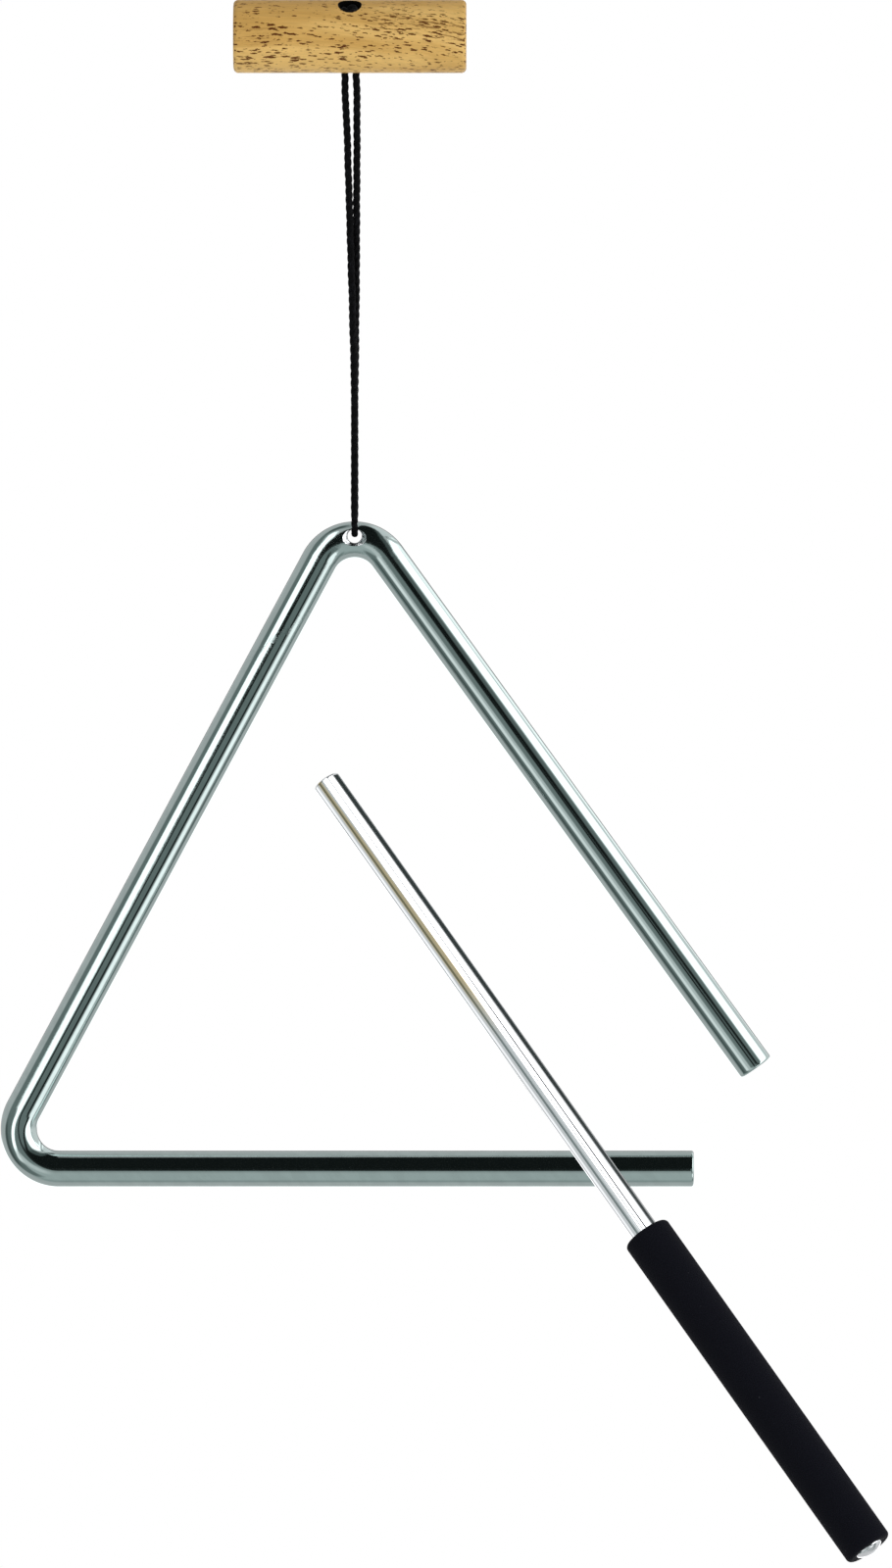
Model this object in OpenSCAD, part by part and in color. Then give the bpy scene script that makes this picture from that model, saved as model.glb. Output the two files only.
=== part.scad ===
// Musical triangle: a bent steel rod hung on a cord from a short wooden handle,
// with a steel beater that has a foam grip. Millimetres, Z up.
// The origin is the middle of the handle. The triangle hangs in a plane that
// faces -Y, and the beater is held in front of it.

/* [Handle] */
// Length of the handle
handle_l = 51; // [40:1:80]
// Diameter of the handle
handle_d = 16; // [14:0.5:24]
// Rounding of the handle's end edges
handle_edge = 0.9; // [0.3:0.1:3]
// Lean of the cord hole, its top towards the front
bore_lean = 34; // [20:1:40]
// Diameter of the upper part of the cord hole, which takes the knot
knot_bore_d = 5; // [5:0.1:6]
// Diameter of the lower part of the cord hole, which the strands leave by
cord_bore_d = 4.4; // [4.4:0.1:4.8]
// Height of the knot's seat over the handle's middle, along the hole
knot_seat = 1.1; // [0.5:0.1:2]

/* [Cord] */
// Diameter of the cord
cord_d = 1.6; // [1.2:0.1:1.6]
// Length of the knot
knot_l = 5; // [4:0.1:5.4]
// Gap round the knot in its hole
knot_gap = 0.1; // [0.05:0.05:0.3]

/* [Triangle] */
// Diameter of the steel rod
rod_d = 8; // [6:0.5:8]
// Radius of the bends, to the middle of the rod
bend_r = 8.8; // [7:0.1:14]
// Straight part of the left side
left_straight = 136.9; // [100:0.1:180]
// Straight part of the bottom side
bottom_straight = 139.3; // [100:0.1:170]
// Straight part of the right side
right_straight = 138.4; // [100:0.1:170]
// Angle between the left and right sides
top_angle = 64.1; // [55:0.1:70]
// Angle between the left and bottom sides
corner_angle = 61.7; // [55:0.1:66]
// Rounding of the rod's two end edges
rod_edge = 0.8; // [0.3:0.1:2]
// Diameter of the cord's cross-hole
hole_d = 3.2; // [3:0.1:4]
// Height of the cross-hole over the rod's middle line
hole_rise = 0.8; // [0:0.1:1]
// Diameter of the countersinks at the rod's crest
sink_d = 5.6; // [4.4:0.1:6]

/* [Beater] */
// Length of the beater from its tip to its domed end
beater_l = 205.5; // [150:0.5:240]
// Diameter of the beater's rod
beater_d = 6; // [4:0.5:8]
// Rounding at the beater's tip
tip_edge = 0.7; // [0.3:0.1:1.5]
// Rounding at the beater's grip end
dome_edge = 1.1; // [0.5:0.1:1.8]
// Length of the foam grip
grip_l = 83; // [60:1:120]
// Outer diameter of the foam grip
grip_d = 10.5; // [9:0.5:16]
// Rounding of the grip's edges
grip_edge = 0.8; // [0.3:0.1:1]
// How far the rod's domed end stands out of the grip
dome_out = 1.2; // [0.5:0.1:3]

/* [Pose] */
// Height of the cross-hole below the handle's middle
hole_drop = 109.4; // [109.4]
// Sideways place of the cross-hole
hang_x = 1; // [0.8:0.1:1.2]
// Depth of the plane in which the cord and the triangle hang
hang_y = 4.2; // [4.1:0.1:4.3]
// Sideways place of the beater's tip
tip_x = -4.6; // [-20:0.1:10]
// How far in front of the handle the beater's tip is
tip_ahead = 60; // [55:1:120]
// How far below the handle's middle the beater's tip is
tip_drop = 163.2; // [150:0.1:180]
// Lean of the beater from upright, seen from the front
beater_lean = 35.4; // [20:0.1:50]
// Tilt of the beater, its grip end towards the front
beater_tilt = 15.2; // [0:0.1:25]

/* [Hidden] */
$fn = 64;
// How far each cut runs past what it cuts
overrun = 1;

// Cord: eight sides, swept along the points of its route
cord_sides = 8;
// Strand offset from the pair's middle line in the handle
bore_gap = 1.2;
// Place of the pair's middle line in the handle
bore_x = 0.1;
// Point along the handle's hole where a strand still lies straight
bore_mid = 2.9;
// Pair of strands going down: middle line x, height z, half gap, and turn of
// the pair about its middle line, from side by side to front and back
pair_rows = [
    [0.1, -6.5, 1.2, 0],
    [0.1, -8, 1.2, 0],
    [0.2, -12, 1.3, 0],
    [0.3, -16, 1.2, 4],
    [0.4, -20, 1.1, 8],
    [0.5, -24, 1.05, 12],
    [0.5, -28, 1, 17],
    [0.6, -32, 0.95, 22],
    [0.6, -36, 0.9, 28],
    [0.7, -40, 0.9, 35],
    [0.7, -44, 0.9, 42],
    [0.8, -48, 0.9, 48],
    [0.8, -52, 0.9, 54],
    [0.9, -56, 0.9, 60],
    [0.9, -60, 0.9, 66],
    [0.9, -64, 0.9, 71],
    [1, -68, 0.9, 76],
    [1, -72, 0.9, 81],
    [1, -76, 1, 86],
    [1, -80, 1.5, 90],
    [1, -84, 2, 90],
    [1, -88, 2.6, 90],
    [1, -92, 3.1, 90],
    [1, -96, 3.6, 90],
    [1, -100, 4.2, 90],
    [1, -103.5, 4.7, 90],
    [1, -105.8, 4.9, 90],
    [1, -107, 4.7, 90],
    [1, -108, 4, 90],
    [1, -108.7, 3, 90],
    [1, -108.9, 1.8, 90]
];
// Rows of pair_rows where one stretch of cord ends and the next begins
neck_top = 1;
neck_foot = 2;
loop_top = 22;

// The rod's straight stretches are this much thinner in radius than its bends,
// which leaves a clear edge where one meets the other
bend_step = 0.01;

// Middle of the cross-hole, where the two strands are one cord
cord_middle = [1, 4.2, -108.9];

left_lean = 90 - corner_angle;
right_lean = top_angle - left_lean;
grip_start = beater_l - dome_out - grip_l;

// Round bar along +Z from the origin, with its edges rounded at either end
module turned_bar(length, radius, low_edge, high_edge) {
    rotate_extrude() {
        translate([0, low_edge]) square([radius, length - low_edge - high_edge]);
        if (low_edge > 0) {
            square([radius - low_edge, low_edge]);
            translate([radius - low_edge, low_edge]) circle(r = low_edge);
        }
        if (high_edge > 0) {
            translate([0, length - high_edge]) square([radius - high_edge, high_edge]);
            translate([radius - high_edge, length - high_edge]) circle(r = high_edge);
        }
    }
}

// Turns +Z to the axis of the hole through the handle, upwards
module along_bore() {
    rotate([bore_lean, 0, 0]) children();
}

module wooden_handle() {
    color("burlywood")
    difference() {
        rotate([0, 90, 0]) translate([0, 0, -handle_l / 2])
            turned_bar(handle_l, handle_d / 2, handle_edge, handle_edge);
        along_bore() {
            cylinder(d = cord_bore_d, h = handle_d + 2 * overrun, center = true);
            translate([0, 0, knot_seat]) cylinder(d = knot_bore_d, h = handle_d);
        }
    }
}

module cord_knot() {
    knot_r = knot_bore_d / 2 - knot_gap;
    color("black")
    along_bore() translate([0, 0, knot_seat])
        turned_bar(knot_l, knot_r, knot_r / 8, knot_r / 2);
}

// Point on one strand: side is -1 for the left strand and 1 for the right one
function in_bore(side, down) = [
    bore_x + side * bore_gap,
    down * sin(bore_lean),
    -down * cos(bore_lean)
];
function in_pair(side, row) = [
    row[0] + side * row[2] * cos(row[3]),
    hang_y + side * row[2] * sin(row[3]),
    row[1]
];
function strand(side, first, last) = [
    for (i = [first : last]) in_pair(side, pair_rows[i])
];
function reversed(points) = [
    for (i = [len(points) - 1 : -1 : 0]) points[i]
];

// The whole cord, from the knot down the left strand, through the triangle
// and up the right strand to the knot again
last_row = len(pair_rows) - 1;
left_strand = concat([in_bore(-1, -knot_seat), in_bore(-1, bore_mid)], strand(-1, 0, last_row));
right_strand = concat([in_bore(1, -knot_seat), in_bore(1, bore_mid)], strand(1, 0, last_row));
cord_route = concat(left_strand, [cord_middle], reversed(right_strand));
// Number of points on the route ahead of the first row of pair_rows
bore_points = 2;

function unit(v) = v / norm(v);
function heading(path, i) = unit(path[min(i + 1, len(path) - 1)] - path[max(i - 1, 0)]);
function ring(path, i) = let (
    along = heading(path, i),
    across = unit([1, 0, 0] - along[0] * along),
    over = cross(along, across)
) [
    for (k = [0 : cord_sides - 1])
        let (turn = 360 * k / cord_sides)
        path[i] + cord_d / 2 * (cos(turn) * across + sin(turn) * over)
];

// Tube along the cord's route between two of its points, closed at both ends
module cord_tube(first, last) {
    rings = last - first + 1;
    count = rings * cord_sides;
    points = [for (i = [first : last]) each ring(cord_route, i)];
    walls = [
        for (i = [0 : rings - 2], k = [0 : cord_sides - 1])
            let (
                a = i * cord_sides + k,
                b = i * cord_sides + (k + 1) % cord_sides
            )
            each [[a, b, b + cord_sides], [a, b + cord_sides, a + cord_sides]]
    ];
    near_end = [for (k = [1 : cord_sides - 2]) [0, k + 1, k]];
    far_end = [
        for (k = [1 : cord_sides - 2])
            [count - cord_sides, count - cord_sides + k, count - cord_sides + k + 1]
    ];
    polyhedron(points = points, faces = concat(walls, near_end, far_end));
}

// The same stretch of both strands, between two places on the route
module both_strands(first, last) {
    end = len(cord_route) - 1;
    cord_tube(first, last);
    cord_tube(end - last, end - first);
}

module cord_in_handle() {
    color("black") both_strands(0, bore_points + neck_top);
}

module cord_neck() {
    color("black") both_strands(bore_points + neck_top, bore_points + neck_foot);
}

module cord_strands() {
    color("black") both_strands(bore_points + neck_foot, bore_points + loop_top);
}

module cord_loop() {
    first = bore_points + loop_top;
    color("black") cord_tube(first, len(cord_route) - 1 - first);
}

// Bend that starts on the X axis, heading +Y, and turns about the origin: a
// ring, less the half before its start and the half past its end
module rod_bend(sweep) {
    reach = bend_r + rod_d;
    half = [2 * reach, reach, 2 * rod_d];
    difference() {
        rotate_extrude() translate([bend_r, 0]) circle(d = rod_d);
        translate([-reach, -reach, -rod_d]) cube(half);
        rotate(sweep) translate([-reach, 0, -rod_d]) cube(half);
    }
}

// Straight stretch that goes on from a bend after it has turned by sweep. The
// children start at its far end, heading +Y
module rod_leg(sweep, length, end_edge) {
    rotate(sweep) translate([bend_r, 0]) {
        rotate([-90, 0, 0]) turned_bar(length, rod_d / 2 - bend_step, 0, end_edge);
        translate([0, length]) children();
    }
}

// The bent rod lying in the XY plane, with the cross-hole's middle at the
// origin. It is bent at the top and at the lower left corner, and stays open
// between its two ends at the lower right
module bent_rod() {
    top_sweep = 180 - top_angle;
    corner_sweep = 180 - corner_angle;
    translate([0, -bend_r - hole_rise]) rotate(right_lean) {
        rod_bend(top_sweep);
        mirror([0, 1, 0]) rod_leg(0, right_straight, rod_edge);
        rod_leg(top_sweep, left_straight, 0) translate([-bend_r, 0]) {
            rod_bend(corner_sweep);
            rod_leg(corner_sweep, bottom_straight, rod_edge);
        }
    }
}

// The cross-hole and its two countersinks, along Z
module cross_hole() {
    cylinder(d = hole_d, h = rod_d + 2 * overrun, center = true);
    for (face = [0, 1]) mirror([0, 0, face])
        translate([0, 0, rod_d / 2 - (sink_d - hole_d) / 2])
            cylinder(d1 = hole_d, d2 = sink_d + 2 * overrun, h = (sink_d - hole_d) / 2 + overrun);
}

module steel_triangle() {
    color("silver")
    translate([hang_x, hang_y, -hole_drop]) rotate([90, 0, 0])
        difference() {
            bent_rod();
            cross_hole();
        }
}

// Places the beater, whose axis is Z and whose tip is at the origin
module held_beater() {
    translate([tip_x, -tip_ahead, -tip_drop])
        rotate([0, 180 - beater_lean, 0]) rotate([beater_tilt, 0, 0]) children();
}

module beater_rod() {
    color("gainsboro")
    held_beater() turned_bar(beater_l, beater_d / 2, tip_edge, dome_edge);
}

module beater_grip() {
    color("dimgray")
    held_beater() translate([0, 0, grip_start])
        difference() {
            turned_bar(grip_l, grip_d / 2, grip_edge, grip_edge);
            translate([0, 0, -overrun]) cylinder(d = beater_d, h = grip_l + 2 * overrun);
        }
}

wooden_handle();
cord_knot();
cord_in_handle();
cord_neck();
cord_strands();
cord_loop();
steel_triangle();
beater_rod();
beater_grip();
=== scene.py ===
import math

import bmesh
import bpy
from mathutils import Matrix, Vector


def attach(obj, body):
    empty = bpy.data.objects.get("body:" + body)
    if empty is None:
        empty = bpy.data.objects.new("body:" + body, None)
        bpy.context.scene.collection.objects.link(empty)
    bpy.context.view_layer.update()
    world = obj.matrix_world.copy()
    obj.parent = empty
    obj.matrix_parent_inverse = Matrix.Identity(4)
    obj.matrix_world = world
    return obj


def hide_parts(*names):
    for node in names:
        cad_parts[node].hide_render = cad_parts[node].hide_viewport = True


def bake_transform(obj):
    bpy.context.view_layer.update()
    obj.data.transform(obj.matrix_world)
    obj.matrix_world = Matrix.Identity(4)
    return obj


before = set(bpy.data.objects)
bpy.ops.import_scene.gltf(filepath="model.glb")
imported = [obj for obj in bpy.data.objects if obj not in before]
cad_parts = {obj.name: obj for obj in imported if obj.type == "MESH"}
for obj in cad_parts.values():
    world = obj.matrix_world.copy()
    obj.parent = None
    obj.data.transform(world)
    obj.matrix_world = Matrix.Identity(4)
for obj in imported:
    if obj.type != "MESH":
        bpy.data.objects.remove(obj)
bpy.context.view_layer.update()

# A triangle that hangs from its wooden handle on a cord, with its beater held in
# front of it. The pieces' dictionaries are in millimetres. The meshes, the patterns
# of the materials, the lamps and the floor are in metres.
mm = 0.001
collection = bpy.context.scene.collection


# Camera: level and far away, looking along +Y

camera = {
    "place": (21.05, -2500, -163.83),
    "lens": 261.9,
    "sensor": 36,
}


def makeCamera():
    data = bpy.data.cameras.new("camera")
    data.lens = camera["lens"]
    data.sensor_width = camera["sensor"]
    data.clip_start = 0.05
    data.clip_end = 20
    eye = bpy.data.objects.new("camera", data)
    eye.location = Vector(camera["place"]) * mm
    eye.rotation_euler = (math.radians(90), 0, 0)
    collection.objects.link(eye)
    bpy.context.scene.camera = eye
    bpy.context.scene.view_settings.view_transform = "Standard"


makeCamera()
print("camera made")


# Helpers for meshes

def putOut(name, bm, sharpAngle=None):
    # turns a bmesh into an object at the origin, shaded smooth
    mesh = bpy.data.meshes.new(name)
    bm.to_mesh(mesh)
    bm.free()
    for face in mesh.polygons:
        face.use_smooth = True
    if sharpAngle:
        mesh.set_sharp_from_angle(angle=math.radians(sharpAngle))
    piece = bpy.data.objects.new(name, mesh)
    collection.objects.link(piece)
    return piece


def cutOut(piece, cutter, sharpAngle):
    # takes the cutter's shape out of a piece, and throws the cutter away
    tool = putOut("cutter", cutter)
    change = piece.modifiers.new("cut", "BOOLEAN")
    change.operation = "DIFFERENCE"
    change.solver = "EXACT"
    change.object = tool
    shown = piece.evaluated_get(bpy.context.evaluated_depsgraph_get())
    mesh = bpy.data.meshes.new_from_object(shown)
    piece.modifiers.clear()
    piece.data = mesh
    for face in mesh.polygons:
        face.use_smooth = True
    mesh.set_sharp_from_angle(angle=math.radians(sharpAngle))
    bpy.data.objects.remove(tool)
    return piece


def turn(bm, profile, steps, closed=False):
    # a turned shape round Z from (radius, height) points
    points = [bm.verts.new((radius * mm, 0, height * mm)) for radius, height in profile]
    edges = [bm.edges.new(pair) for pair in zip(points, points[1:])]
    if closed:
        edges.append(bm.edges.new((points[-1], points[0])))
    bmesh.ops.spin(
        bm, geom=points + edges, cent=(0, 0, 0), axis=(0, 0, 1),
        angle=2 * math.pi, steps=steps, use_merge=True,
    )
    bmesh.ops.remove_doubles(bm, verts=bm.verts, dist=1e-7)
    bmesh.ops.recalc_face_normals(bm, faces=bm.faces)


def corner(radius, height, edge, start, end, steps=6):
    # points round a corner, from one angle to another
    turns = [math.radians(start + (end - start) * i / steps) for i in range(steps + 1)]
    return [(radius + edge * math.cos(t), height + edge * math.sin(t)) for t in turns]


def move(bm, matrix):
    bmesh.ops.transform(bm, matrix=matrix, verts=bm.verts)


def keepPlace(piece, name, measure):
    # stores where each point lies on its own piece, for the piece's material to read
    values = piece.data.attributes.new(name, "FLOAT_VECTOR", "POINT")
    for vertex, value in zip(piece.data.vertices, values.data):
        value.vector = measure(vertex.co)


# Helpers for shader trees

def plug(tree, node, ins):
    # fills a node's inputs: a socket is linked, a number is set
    for key, value in ins.items():
        if isinstance(value, bpy.types.NodeSocket):
            tree.links.new(value, node.inputs[key])
        else:
            node.inputs[key].default_value = value


def add(tree, kind, ins=None, out=0, **settings):
    # adds a node and returns one of its outputs
    made = tree.nodes.new("ShaderNode" + kind)
    for key, value in settings.items():
        setattr(made, key, value)
    plug(tree, made, ins or {})
    return made.outputs[out]


def maths(tree, operation, a, b=0.0):
    return add(tree, "Math", {0: a, 1: b}, operation=operation)


def times(tree, a, b):
    return maths(tree, "MULTIPLY", a, b)


def fade(tree, value, low, high, start=0.0, end=1.0):
    # runs smoothly from start to end while the value goes from low to high
    ins = {"Value": value, 1: low, 2: high, 3: start, 4: end}
    return add(tree, "MapRange", ins, interpolation_type="SMOOTHSTEP")


def mixColour(tree, factor, first, second, way="MIX"):
    ins = {0: factor, 6: first, 7: second}
    return add(tree, "Mix", ins, out=2, data_type="RGBA", blend_type=way)


def grey(level):
    return (level, level, level, 1)


def stretched(tree, where, scale, turned=(0, 0, 0)):
    return add(tree, "Mapping", {"Vector": where, "Scale": scale, "Rotation": turned})


def noise(tree, where, stretch=None, detail=2.0, scale=1.0, roughness=0.5, out=0):
    # a stretch gives the noise its own scale along each axis
    if stretch:
        where = stretched(tree, where, stretch)
    ins = {"Vector": where, "Scale": scale, "Detail": detail, "Roughness": roughness}
    return add(tree, "TexNoise", ins, out=out)


def wandered(tree, where, drift, reach):
    # places that a coloured noise moves, each way by up to half of the reach
    shift = add(tree, "VectorMath", {0: drift, 1: (0.5, 0.5, 0.5)}, operation="SUBTRACT")
    shift = add(tree, "VectorMath", {0: shift, 1: reach}, operation="MULTIPLY")
    return add(tree, "VectorMath", {0: where, 1: shift}, operation="ADD")


def parted(tree, vector):
    # the three numbers of a vector
    return add(tree, "SeparateXYZ", {0: vector}).node.outputs


def objectPlace(tree):
    return add(tree, "TexCoord", out=3)


def rodCoords(tree):
    # the place on a rod that keepPlace has stored
    return add(tree, "Attribute", out=1, attribute_name="alongRod")


def startMaterial(name):
    material = bpy.data.materials.new(name)
    material.use_nodes = True
    tree = material.node_tree
    surface = tree.nodes["Principled BSDF"]
    return material, tree, surface


def bumps(tree, height, distance, strength=1.0, below=None):
    ins = {"Height": height, "Distance": distance, "Strength": strength}
    if below:
        ins["Normal"] = below
    return add(tree, "Bump", ins)


# Cord: a three-strand twist, swept along the route that the CAD model's cord takes

cord = {
    "thick": 1.66,
    "packed": 0.17,      # how far out a strand's middle lies, as a share of the cord
    "lay": 5.5,          # one full turn of the strands
    "step": 0.28,
    "strands": 3,
    "outline": 9,        # points on each strand's part of the cord's outline
    "squeezed": 0.11,    # the share that it thins by where it goes through the steel
    "squeezeFrom": -103.5,
    "squeezeOver": 2.5,
    "boreLean": 34,
    "boreGap": 1.2,
    "boreMiddle": 0.1,
    "boreDown": (-4.2, -1.1, 2.9),
    "hangsAt": 4.2,
    "middle": (1, 4.2, -108.9),
    "neck": -10,         # heights where one piece of the cord passes on to the next
    "fork": -20,
    # middle line x, height, half gap and turn of the pair of strands
    "pair": [
        (0.1, -6.5, 1.2, 0), (0.1, -8, 1.2, 0), (0.2, -12, 1.3, 0), (0.3, -16, 1.2, 4),
        (0.4, -20, 1.1, 8), (0.5, -24, 1.05, 12), (0.5, -28, 1, 17), (0.6, -32, 0.95, 22),
        (0.6, -36, 0.9, 28), (0.7, -40, 0.9, 35), (0.7, -44, 0.9, 42), (0.8, -48, 0.9, 48),
        (0.8, -52, 0.9, 54), (0.9, -56, 0.9, 60), (0.9, -60, 0.9, 66), (0.9, -64, 0.9, 71),
        (1, -68, 0.9, 76), (1, -72, 0.9, 81), (1, -76, 1, 86), (1, -80, 1.5, 90),
        (1, -84, 2, 90), (1, -88, 2.6, 90), (1, -92, 3.1, 90), (1, -96, 3.6, 90),
        (1, -100, 4.2, 90), (1, -103.5, 4.7, 90), (1, -105.8, 4.9, 90), (1, -107, 4.7, 90),
        (1, -108, 4.08, 90), (1, -108.68, 3.05, 90), (1, -108.9, 1.8, 90),
    ],
}


def cordRoute():
    # from the knot down the left strand, through the triangle and up the right one
    lean = math.radians(cord["boreLean"])
    depth = cord["hangsAt"]

    def strand(side):
        inBore = cord["boreMiddle"] + side * cord["boreGap"]
        line = [
            Vector((inBore, down * math.sin(lean), -down * math.cos(lean)))
            for down in cord["boreDown"]
        ]
        for x, z, half, turned in cord["pair"]:
            a = math.radians(turned)
            right, back = side * half * math.cos(a), side * half * math.sin(a)
            line.append(Vector((x + right, depth + back, z)))
        return line
    return strand(-1) + [Vector(cord["middle"])] + strand(1)[::-1]


def smoothLine(points, step, pieces=24):
    # an even curve through the points, with a point at every step of its length
    ends = [2 * points[0] - points[1]] + points + [2 * points[-1] - points[-2]]
    fine = [points[0]]
    for p0, p1, p2, p3 in zip(ends, ends[1:], ends[2:], ends[3:]):
        t1 = (p1 - p0).length ** 0.5
        t2 = t1 + (p2 - p1).length ** 0.5
        t3 = t2 + (p3 - p2).length ** 0.5
        for i in range(1, pieces + 1):
            t = t1 + (t2 - t1) * i / pieces
            a1 = p0.lerp(p1, t / t1)
            a2 = p1.lerp(p2, (t - t1) / (t2 - t1))
            a3 = p2.lerp(p3, (t - t2) / (t3 - t2))
            b1 = a1.lerp(a2, t / t2)
            b2 = a2.lerp(a3, (t - t1) / (t3 - t1))
            fine.append(b1.lerp(b2, (t - t1) / (t2 - t1)))
    reach = [0]
    for a, b in zip(fine, fine[1:]):
        reach.append(reach[-1] + (b - a).length)
    count = round(reach[-1] / step)
    line, k = [], 0
    for i in range(count + 1):
        want = reach[-1] * i / count
        while k < len(reach) - 2 and reach[k + 1] < want:
            k += 1
        line.append(fine[k].lerp(fine[k + 1], (want - reach[k]) / (reach[k + 1] - reach[k])))
    return line


def strandOutline():
    # the cord's section: three round strands that press against each other
    middle = cord["thick"] * cord["packed"]
    thick = cord["thick"] / 2 - middle
    half = math.pi / cord["strands"]
    crease = middle * math.cos(half) + math.sqrt(thick ** 2 - (middle * math.sin(half)) ** 2)
    spread = math.atan2(crease * math.sin(half), crease * math.cos(half) - middle)
    count = cord["outline"]
    points = []
    for k in range(cord["strands"]):
        for i in range(count):
            a = spread * (2 * i / count - (count - 1) / count)
            points.append(Vector((middle + thick * math.cos(a), thick * math.sin(a))))
            points[-1].rotate(Matrix.Rotation(2 * math.pi * k / cord["strands"], 2))
    return points


def cordRings(line, shrink=None):
    # one ring of points for each point of the line, turning with the lay
    outline = strandOutline()
    rings = []
    across = None
    reach = 0
    for i, point in enumerate(line):
        ahead = (line[min(i + 1, len(line) - 1)] - line[max(i - 1, 0)]).normalized()
        if across is None:
            across = ahead.orthogonal()
        across = (across - across.dot(ahead) * ahead).normalized()
        over = ahead.cross(across)
        if i:
            reach += (point - line[i - 1]).length
        a = 2 * math.pi * reach / cord["lay"]
        size = shrink[i] if shrink else 1
        ring = []
        for p in outline:
            x = (p.x * math.cos(a) - p.y * math.sin(a)) * size
            y = (p.x * math.sin(a) + p.y * math.cos(a)) * size
            ring.append((point + across * x + over * y) * mm)
        rings.append((reach, ring))
    return rings


def sweepCord(bm, rings):
    # walls between the rings, with a UV map that runs round a strand and along it
    uv = bm.loops.layers.uv.verify()
    made = [[bm.verts.new(p) for p in ring] for reach, ring in rings]
    around = len(made[0])
    for (low, lower), (high, upper) in zip(zip(rings, made), zip(rings[1:], made[1:])):
        for k in range(around):
            n = (k + 1) % around
            face = bm.faces.new((lower[k], lower[n], upper[n], upper[k]))
            places = ((k, low[0]), (k + 1, low[0]), (k + 1, high[0]), (k, high[0]))
            for loop, (u, v) in zip(face.loops, places):
                loop[uv].uv = (u / cord["outline"], v / cord["thick"])
    bm.faces.new(made[0][::-1])
    bm.faces.new(made[-1])


knot = {
    "high": 5.6,         # up the bore from the handle's axis
    "wide": 0.52,
    "deep": 0.95,
    "starts": 30,        # degrees round the knot at which its line starts
    "points": 144,
    "step": 0.2,
    "tailStep": 0.15,
    "roundedOver": 4,    # rings
    # the two cut ends, from the knot's middle
    "tails": [
        [(-0.4, -0.4, 0), (-0.75, -0.1, 0.5), (-0.95, -0.4, 0.9), (-0.8, -0.8, 1.3)],
        [(0.4, -0.4, 0), (0.75, -0.1, 0.5), (0.95, 0.4, 0.9), (0.8, 0.8, 1.3)],
    ],
}


def roundedEnd(count, over):
    # the rings' sizes on a cut end, of which the last few shrink to close it
    sizes = [1] * count
    for k in range(over):
        sizes[-1 - k] = min(1, math.sqrt(max(0.05, 1 - (1 - k / over) ** 2)))
    return sizes


def makeKnot():
    # an overhand knot with its two cut ends, seated in the wide part of the bore
    bm = bmesh.new()
    wide, deep, high, points = knot["wide"], knot["deep"], knot["high"], knot["points"]
    loop = []
    for i in range(points + 1):
        t = math.radians(knot["starts"] + 360 * i / points)
        x = math.sin(t) + 2 * math.sin(2 * t)
        y = math.cos(t) - 2 * math.cos(2 * t)
        loop.append(Vector((x * wide, y * wide, high - deep * math.sin(3 * t))))
    sweepCord(bm, cordRings(smoothLine(loop, knot["step"])))
    for tail in knot["tails"]:
        line = smoothLine([Vector((x, y, high + z)) for x, y, z in tail], knot["tailStep"])
        sweepCord(bm, cordRings(line, roundedEnd(len(line), knot["roundedOver"])))
    move(bm, Matrix.Rotation(math.radians(cord["boreLean"]), 4, "X"))
    return putOut("cordKnot", bm)


def makeCord():
    line = smoothLine(cordRoute(), cord["step"])
    start, over = cord["squeezeFrom"], cord["squeezeOver"]
    thinned = [cord["squeezed"] * min(1, max(0, (start - p.z) / over)) for p in line]
    rings = cordRings(line, [1 - less for less in thinned])
    # the last point above each height, on the way down and on the way up
    half = len(line) // 2
    down, up = range(half), range(half, len(line))
    neckDown = max(i for i in down if line[i].z > cord["neck"])
    forkDown = max(i for i in down if line[i].z > cord["fork"])
    neckUp = min(i for i in up if line[i].z > cord["neck"])
    forkUp = min(i for i in up if line[i].z > cord["fork"])

    def stretch(name, *spans):
        bm = bmesh.new()
        for first, last in spans:
            sweepCord(bm, rings[first:last + 1])
        return putOut(name, bm)

    entry = stretch("cordEntry", (0, neckDown), (neckUp, len(line) - 1))
    neck = stretch("cordNeck", (neckDown, forkDown), (forkUp, neckUp))
    run = stretch("cordRun", (forkDown, forkUp))
    path = [p * mm for p in line[forkDown:forkUp + 1]]
    return entry, neck, run, path


cordEntry, cordNeck, cordRun, cordPath = makeCord()
cordKnot = makeKnot()
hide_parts("cord_knot")
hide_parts("cord_in_handle")
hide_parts("cord_neck")
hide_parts("cord_strands", "cord_loop")
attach(cordKnot, "handle")
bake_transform(cordEntry)
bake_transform(cordNeck)
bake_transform(cordRun)


# Handle: a turned bar with the cord's bore

handle = {
    "long": 51,
    "thick": 16,
    "edge": 1.05,
    "around": 128,
    # where its rings stand, in half millimetres: closer together round the bore
    "rings": (-44, -32, -22, -16, *range(-12, 13), 16, 22, 32, 44),
    "seat": 1.1,
    "wideBore": 5,
    "narrowBore": 4.4,
    "rim": 0.25,
    "boreAround": 64,
}


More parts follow.
